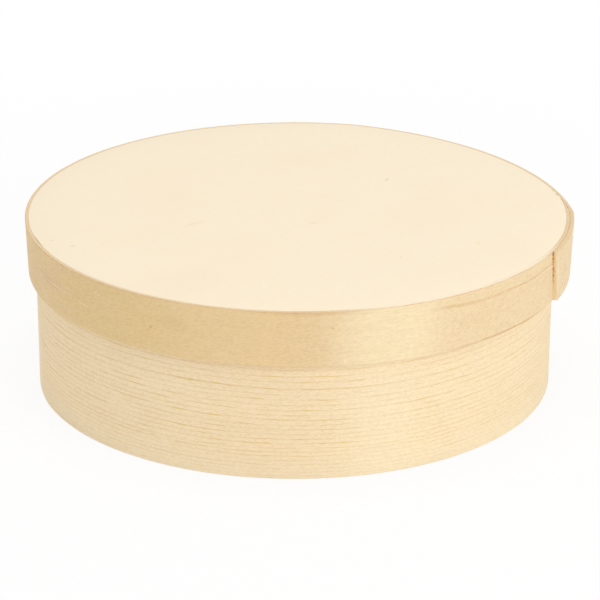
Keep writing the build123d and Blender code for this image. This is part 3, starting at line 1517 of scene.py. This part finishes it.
@dataclass
class BoxLid:
    """The shallow half: a poplar strip round the lid board, resting on the body's rim."""

    ring: Ring = Ring(
        foot=43.4 * MM,
        height=20.4 * MM,
        inner_radius=97.7 * MM,
        thickness=1.3 * MM,
        flat_depth=2.6 * MM,
        lap_length=37.1 * MM,
        turn=math.radians(42.2),
        shift=1.3 * MM,
        flare=0.7 * MM,
        end_slant=5 * MM,
    )
    board_thickness: float = 2.5 * MM
    fillet_size: float = 0.8 * MM
    level_step: float = 1.6 * MM
    seed: float = 4.7
    nicks: tuple[Nick, ...] = (
        Nick(200.5, 11 * MM, 0.2 * MM),
        Nick(12.3, 1.2 * MM, 0.35 * MM),
        Nick(9.6, 2 * MM, 0.4 * MM),
        Nick(6, 0.9 * MM, 0.25 * MM),
        Nick(-1.5, 0.9 * MM, 0.25 * MM),
    )

    def poplar(self) -> bpy.types.Material:
        """Makes the strip's finish, with the marks that the front of the lid shows, painted shade
        and highlights among them.

        Returns:
            The strip's material.
        """
        facing = self.ring.facing
        return PoplarFinish(
            height=self.ring.height / MM,
            half_thickness=self.ring.thickness / MM / 2,
            # The deeper colour up to this stretch is painted shade as well as wood tone.
            shade_paling=(facing(262), facing(283)),
            # The painted shade at the top's outer corner grows stronger from here.
            shaded_corner_from=facing(276),
            # Painted shade on the top edge over these stretches.
            shaded_edge_parts=((-40, facing(282)), (facing(335), facing(400))),
            crease_to=facing(334.7),
            crease_level=15.6,
            marks=(
                Blemish(RESIN, facing(230), 9, 88, 44, 0.17),
                Blemish(PINK_WOOD, facing(208), 11.3, 34, 6.5, 0.35),
                # Painted shade: a faint darker patch low on the band's left end.
                Blemish(BRUISE_AND_PAINTED_SHADE, facing(199), 6, 16, 20, 0.08),
                Blemish(PALE_WOOD_AND_PAINTED_LIGHT, facing(203), 10.8, 22, 0.5, 0.55, -1.8),
                Blemish(PALE_WOOD_AND_PAINTED_LIGHT, facing(212), 10.3, 24, 0.5, 0.6, -1.8),
                Blemish(PALE_WOOD_AND_PAINTED_LIGHT, facing(204), 12.6, 18, 0.5, 0.35, -1.8),
                Blemish(BRUISE_AND_PAINTED_SHADE, facing(206), 11.5, 30, 0.6, 0.3, -1.8),
                Blemish(BRUISE_AND_PAINTED_SHADE, facing(209), 9.8, 26, 0.7, 0.25, -3),
                Blemish(PALE_WOOD_AND_PAINTED_LIGHT, facing(222), 9.2, 13, 0.5, 0.56, -8),
                Blemish(PALE_WOOD_AND_PAINTED_LIGHT, facing(226.5), 15.3, 7, 0.5, 0.4, -5),
                Blemish(SPECK, facing(240), 9.3, 2.4, 0.7, 0.4, 40),
                Blemish(BRUISE_AND_PAINTED_SHADE, facing(245), 12, 17, 9, 0.12),
                Blemish(BRUISE_AND_PAINTED_SHADE, facing(277), 14.3, 2, 1.4, 0.5),
                Blemish(BRUISE_AND_PAINTED_SHADE, facing(291.7), 16.5, 2.4, 0.9, 0.6),
                # Painted shadow: a dark line along the lid's lower edge.
                Blemish(BRUISE_AND_PAINTED_SHADE, facing(318), 0.3, 66, 1.4, 0.6),
                Blemish(BRUISE_AND_PAINTED_SHADE, facing(273), 10, 36, 60, 0.1),
                # Painted shade: a darker band along the top, under the outer corner.
                Blemish(BRUISE_AND_PAINTED_SHADE, facing(275), 20.2, 62, 3.4, 0.34),
                # Lighter wood and a painted highlight where the light peaks on the lid.
                Blemish(LIGHT_WOOD_AND_HIGHLIGHT, facing(289), 9, 54, 90, 0.54),
                Blemish(PALE_WOOD_AND_PAINTED_LIGHT, facing(293), 4.6, 1.5, 3, 0.4),
                Blemish(PALE_WOOD_AND_PAINTED_LIGHT, facing(279.5), 2.1, 1.4, 3, 0.4),
                Blemish(BRUISE_AND_PAINTED_SHADE, 10.5, 10, 3, 9, 0.2),
                Blemish(BRUISE_AND_PAINTED_SHADE, 12, 3.4, 18, 0.7, 0.4),
                # Painted shadow: a dark line along the lap's lower edge.
                Blemish(BRUISE_AND_PAINTED_SHADE, 12, 0.2, 34, 1, 0.5),
                # Painted highlight: a pale strip on the rounded corner beside the seam.
                Blemish(PALE_WOOD_AND_PAINTED_LIGHT, 1.6, 10, 1.2, 19, 0.5),
            ),
        ).make()

    def board(self) -> bpy.types.Material:
        """Makes the board's finish, with the few marks that show on it.

        Returns:
            The board's material.
        """
        return BoardFinish(
            marks=(
                Blemish(BRUISE_AND_PAINTED_SHADE, -36, -16, 14, 2.4, 0.12, 35),
                Blemish(SPECK, 35, 32, 1.6, 4.5, 0.22, -15),
                Blemish(BRUISE_AND_PAINTED_SHADE, 7, -15, 5, 4, 0.12),
                Blemish(SPECK, 37.5, -48.5, 0.8, 1, 0.5),
                Blemish(RESIN, 65.5, -34, 2.5, 7, 0.14),
                Blemish(SPECK, -78.2, -39, 3.4, 1.4, 0.22, 15),
                Blemish(SPECK, -86, -33.2, 1.6, 0.9, 0.35, 20),
            )
        ).make()

    def build(self, glue: bpy.types.Material) -> None:
        """Builds and dresses every piece.

        Args:
            glue: The glue's finish.
        """
        under, size = self.ring.top - self.board_thickness, self.fillet_size
        strip = BentStrip(self.ring, self.seed, level_step=self.level_step)
        top = FittedBoard(self.ring, under, self.seed + 1, self.board_thickness, self.nicks)
        lap = LapGlue(self.ring, self.seed + 2)
        fillet = GlueFillet(self.ring, under, size, -size, self.seed + 3)
        seam_glue = GlueFinish(film_below=5.6, film_from=0.5).make()
        publish(strip.build(), "lid_strip", Body.LID, Slot.POPLAR, self.poplar())
        publish(top.build(), "lid_board", Body.LID, Slot.BOARD, self.board())
        publish(lap.build(), "lid_lap_glue", Body.LID, Slot.GLUE, seam_glue)
        publish(fillet.build(), "lid_glue_bead", Body.LID, Slot.GLUE, glue)


# The studio


@dataclass(frozen=True)
class Lamp:
    """A large soft round lamp that is turned to the box."""

    name: str
    power: float
    azimuth: float
    elevation: float
    distance: float
    size: float

    def hang(self) -> None:
        """Hangs the lamp, its azimuth counted from the front towards the right."""
        light = bpy.data.lights.new(self.name, "AREA")
        light.shape = "DISK"
        light.size = self.size
        light.energy = self.power
        outward = heading(self.azimuth - math.pi / 2, math.cos(self.elevation))
        towards = outward + UP * math.sin(self.elevation)
        turned = towards.to_track_quat("Z", "Y").to_matrix().to_4x4()
        lamp = bpy.data.objects.new(self.name, light)
        lamp.matrix_world = Matrix.Translation(towards * self.distance) @ turned
        bpy.context.scene.collection.objects.link(lamp)


@dataclass(frozen=True)
class Studio:
    """White table and soft light, and the camera where the photographer's stood."""

    aim_level: float = 63.8 * MM
    elevation: float = math.radians(22.219)
    roll: float = math.radians(-0.198)
    distance: float = 1011.3 * MM
    slide_right: float = 2.31 * MM
    slide_down: float = -33.54 * MM
    picture_width: float = 600.0
    focal_pixels: float = 2755.7
    sensor_width: float = 36.0
    clip: Stretch = (0.01, 50.0)
    table_size: float = 8.0
    table_squares: int = 8
    table_colour: Colour = (0.96, 0.96, 0.96)
    sky: float = 0.64
    lamps: tuple[Lamp, ...] = (
        Lamp("side_lamp", 6.1, math.radians(41), math.radians(22), 1.6, 1.0),
        Lamp("fill_lamp", 0.5, math.radians(-65), math.radians(4), 1.6, 1.0),
        Lamp("top_lamp", 11.0, 0.0, math.radians(90), 2.0, 1.2),
    )
    shadow_share: float = 0.13
    shadow_reach: Stretch = (160.0, 500.0)

    def camera(self) -> None:
        """Sets the camera up."""
        right = Vector((1, 0, 0))
        upward = Vector((0, math.sin(self.elevation), math.cos(self.elevation)))
        back = Vector((0, -math.cos(self.elevation), math.sin(self.elevation)))
        slide = right * self.slide_right + upward * self.slide_down
        where = UP * self.aim_level + back * self.distance + slide
        across = math.cos(self.roll) * right - math.sin(self.roll) * upward
        along = math.sin(self.roll) * right + math.cos(self.roll) * upward
        lens = bpy.data.cameras.new("photo_camera")
        lens.sensor_width = self.sensor_width
        lens.lens = self.focal_pixels / self.picture_width * self.sensor_width
        lens.clip_start, lens.clip_end = self.clip
        camera = bpy.data.objects.new("photo_camera", lens)
        turned = Matrix((across, along, back)).transposed().to_4x4()
        camera.matrix_world = Matrix.Translation(where) @ turned
        bpy.context.scene.collection.objects.link(camera)
        bpy.context.scene.camera = camera

    def world(self) -> None:
        """Surrounds the box with plain soft light and a white backdrop."""
        room = bpy.data.worlds.new("white_room")
        recipe = Recipe(room)
        strength = recipe.span(recipe.seen_directly(), 0.0, 1.0, self.sky, 1.0)
        backdrop = recipe.add("ShaderNodeBackground", {"Color": WHITE, "Strength": strength})
        recipe.add("ShaderNodeOutputWorld", {"Surface": backdrop.outputs[0]})
        bpy.context.scene.world = room

    def table(self) -> None:
        """Lays the white table, which keeps a faint shadow."""
        cover = bpy.data.materials.new("white_table")
        recipe = Recipe(cover)
        paper = recipe.add("ShaderNodeBsdfDiffuse", {"Color": (*self.table_colour, 1.0)})
        glow = recipe.add("ShaderNodeEmission", {"Color": WHITE, "Strength": 1.0})
        away = recipe.away(recipe.where(Grain.OBJECT))
        white = recipe.span(away, *self.shadow_reach, 1 - self.shadow_share, 1.0)
        share = recipe.times(recipe.seen_directly(), white)
        inputs = {0: share, 1: paper.outputs[0], 2: glow.outputs[0]}
        mixed = recipe.add("ShaderNodeMixShader", inputs)
        recipe.add("ShaderNodeOutputMaterial", {"Surface": mixed.outputs[0]})
        mesh = bmesh.new()
        squares, half = self.table_squares, self.table_size / 2
        bmesh.ops.create_grid(mesh, x_segments=squares, y_segments=squares, size=half)
        bring_in(mesh, "white_table", cover)

    def set_up(self) -> None:
        """Sets up the camera, the light and the table."""
        self.camera()
        self.world()
        self.table()
        for lamp in self.lamps:
            lamp.hang()
        bpy.context.scene.view_settings.view_transform = "Standard"
        LOG.info("studio: camera, table, sky and %d lamps", len(self.lamps))


def main() -> None:
    """Builds the box and its studio in order."""
    logging.basicConfig(level=logging.INFO, format="%(name)s: %(message)s")
    glue = GlueFinish().make()
    BoxBody().build(glue)
    BoxLid().build(glue)
    Studio().set_up()


if __name__ == "__main__":
    main()
